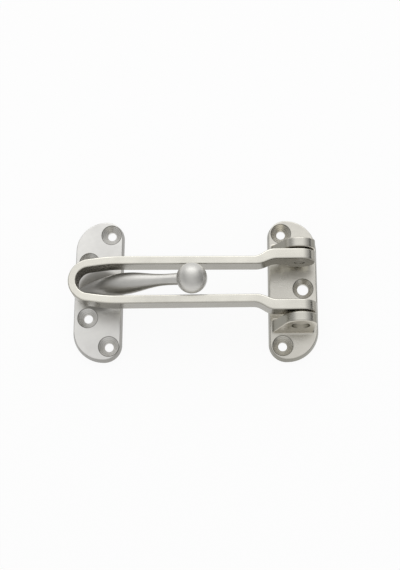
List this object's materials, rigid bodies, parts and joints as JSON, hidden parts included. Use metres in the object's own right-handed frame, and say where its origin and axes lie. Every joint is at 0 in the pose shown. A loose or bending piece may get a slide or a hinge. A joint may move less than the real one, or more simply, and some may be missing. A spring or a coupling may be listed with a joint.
{
  "type": "swing bar door guard",
  "caption": "Door guard: a hinged loop-shaped swing bar on one screw plate, and a ball on a curved horn on the other, which the bar's slot holds.",
  "frame": {"origin": "the axis of the hinge plate's middle screw hole, at the plates' back faces", "axes": "+Z out of the door through that screw hole, +X from the catch plate towards the hinge plate, along the closed bar, Y along the hinge pins"},
  "size_m": [0.1163, 0.0692, 0.0311],
  "materials": {
    "satin_nickel": "satin",
    "brushed_nickel": "brushed",
    "pin_nickel": "satin"
  },
  "bodies": {
    "plates": {"hinge_plate": "satin_nickel", "catch_plate": "satin_nickel", "hinge_pin_upper": "pin_nickel", "hinge_pin_lower": "pin_nickel"},
    "bar": {"swing_bar": "brushed_nickel"}
  },
  "joints": [
    {"name": "bar_swing", "type": "hinge", "parent": "plates", "child": "bar", "pos_m": [-0.0021, 0, 0.015], "axis": [0, 1, 0], "range_deg": [0, 180]}
  ]
}
